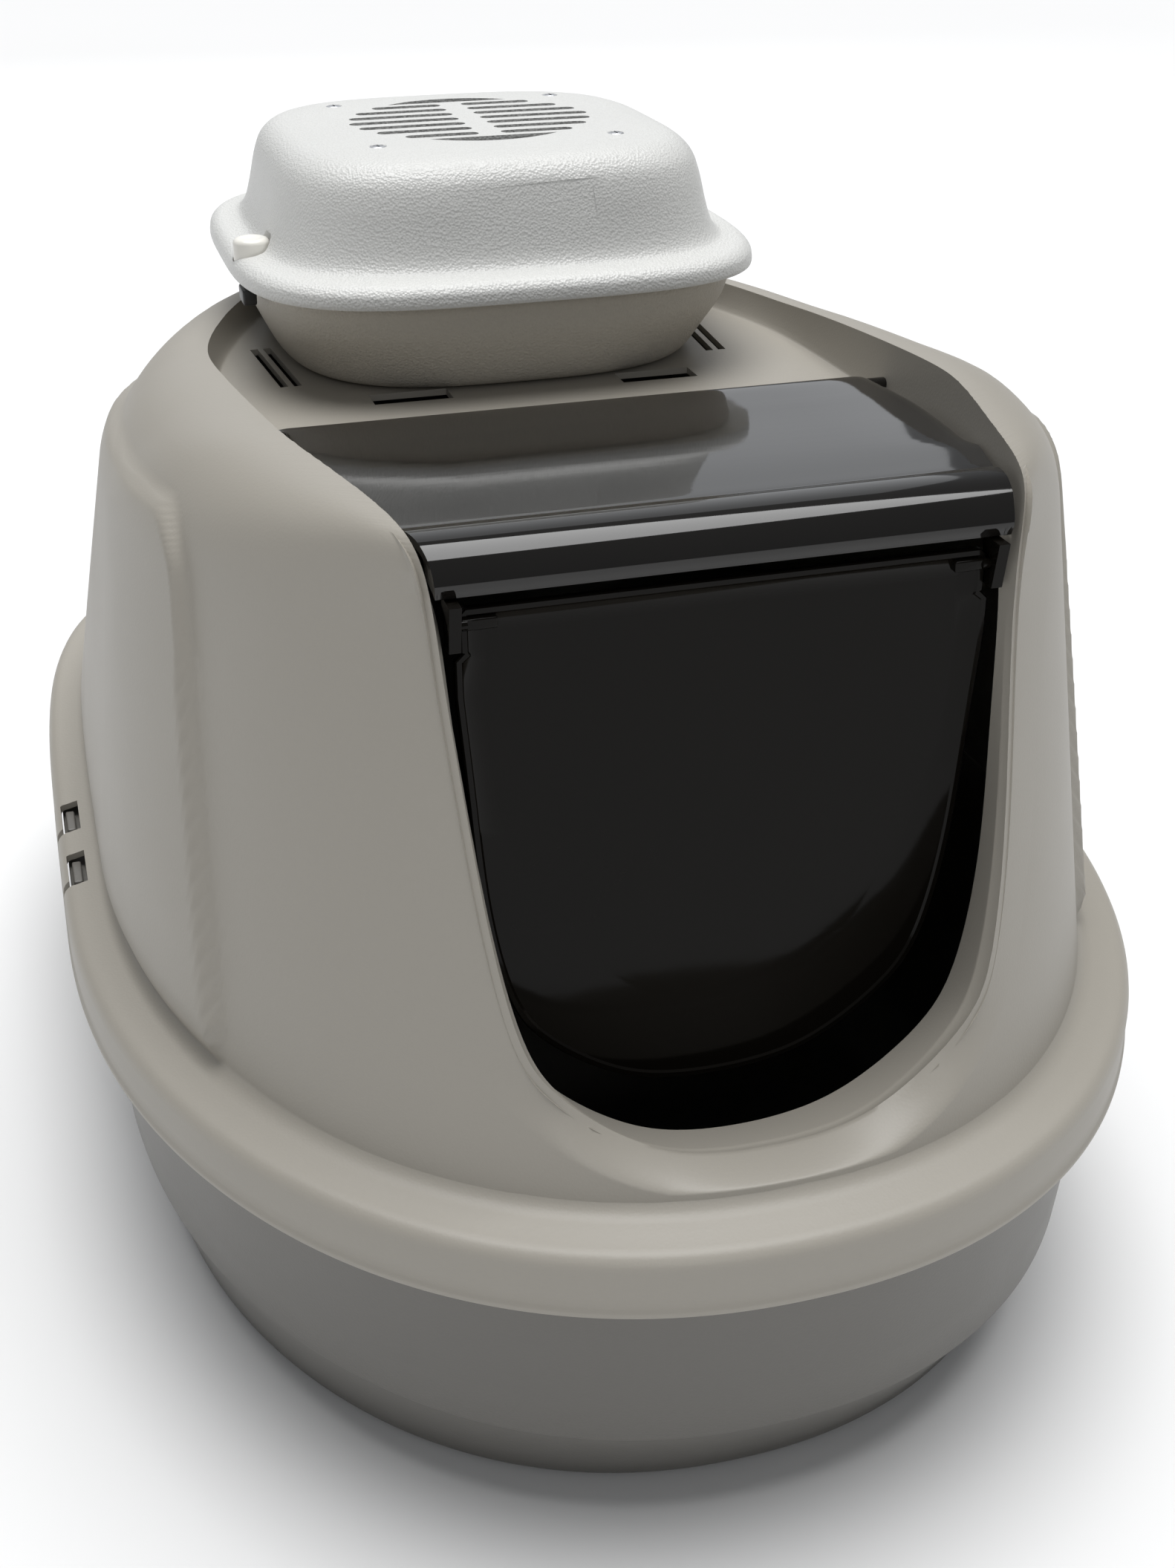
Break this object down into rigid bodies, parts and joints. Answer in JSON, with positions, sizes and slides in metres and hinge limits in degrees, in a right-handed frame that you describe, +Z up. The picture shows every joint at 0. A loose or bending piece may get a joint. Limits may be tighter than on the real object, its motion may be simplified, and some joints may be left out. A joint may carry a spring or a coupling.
{
  "type": "cat litter box with hood",
  "caption": "Hooded cat litter box: litter pan, lift-off hood with a smoked visor and a swinging door, and an odour fan unit with its cord and adapter.",
  "frame": {"origin": "on the floor, under the middle of the box's outline seen from above", "axes": "+X to the right in a front view, +Y to the back, +Z up; the doorway faces -Y"},
  "size_m": [0.454, 0.7555, 0.4365],
  "materials": {
    "hood_plastic": "warm pale grey, fine grain",
    "pan_plastic": "warm dark grey, satin",
    "smoked_plastic": "smoked, polished",
    "black_plastic": "black, satin",
    "unit_light_plastic": "pearl grey, grained",
    "unit_taupe_plastic": "taupe, grained",
    "button_plastic": "cream white, glossy",
    "screw_steel": "plated",
    "filter_foam": "carbon-coated foam",
    "cord_rubber": "black, satin",
    "blade_brass": "plated"
  },
  "bodies": {
    "pan_body": {"litter_pan": "pan_plastic"},
    "hood_body": {"hood": "hood_plastic", "filter_holder": "black_plastic", "carbon_filter": "filter_foam"},
    "visor_body": {"visor": "smoked_plastic", "door_bracket_left": "black_plastic", "door_bracket_right": "black_plastic"},
    "door_body": {"swing_door": "smoked_plastic"},
    "fan_unit_body": {"fan_unit_upper_shell": "unit_light_plastic", "fan_unit_lower_tub": "unit_taupe_plastic", "fan_frame": "black_plastic", "fan_screw_front_left": "screw_steel", "fan_screw_front_right": "screw_steel", "fan_screw_back_left": "screw_steel", "fan_screw_back_right": "screw_steel", "fan_nut_front_left": "screw_steel", "fan_nut_front_right": "screw_steel", "fan_nut_back_left": "screw_steel", "fan_nut_back_right": "screw_steel", "unit_filter_pad": "filter_foam", "latch_clip": "black_plastic", "cord_grommet": "cord_rubber", "power_cord": "cord_rubber", "cord_hank": "cord_rubber", "adapter_lower_case": "black_plastic", "adapter_upper_case": "black_plastic", "adapter_blade_front": "blade_brass", "adapter_blade_back": "blade_brass", "adapter_strain_relief": "cord_rubber"},
    "fan_rotor_body": {"fan_rotor": "black_plastic"},
    "button_body": {"power_button": "button_plastic"}
  },
  "joints": [
    {"name": "hood_lift", "type": "slide", "parent": "pan_body", "child": "hood_body", "axis": [0, 0, 1], "range_m": [0, 0.3]},
    {"name": "visor_hinge", "type": "hinge", "parent": "hood_body", "child": "visor_body", "pos_m": [0, -0.066, 0.3495], "axis": [-1, 0, 0], "range_deg": [0, 95]},
    {"name": "door_swing", "type": "hinge", "parent": "visor_body", "child": "door_body", "pos_m": [0, -0.2375, 0.341], "axis": [1, 0, 0], "range_deg": [-60, 60]},
    {"name": "fan_unit_lift", "type": "slide", "parent": "hood_body", "child": "fan_unit_body", "axis": [0, 0, 1], "range_m": [0, 0.12]},
    {"name": "fan_spin", "type": "hinge", "parent": "fan_unit_body", "child": "fan_rotor_body", "pos_m": [-0.004, 0.098, 0.42], "axis": [0, 0, 1], "continuous": true},
    {"name": "button_press", "type": "slide", "parent": "fan_unit_body", "child": "button_body", "axis": [0, 0, -1], "range_m": [0, 0.002], "stiffness_N_per_m": 400, "springref_m": -0.001}
  ]
}
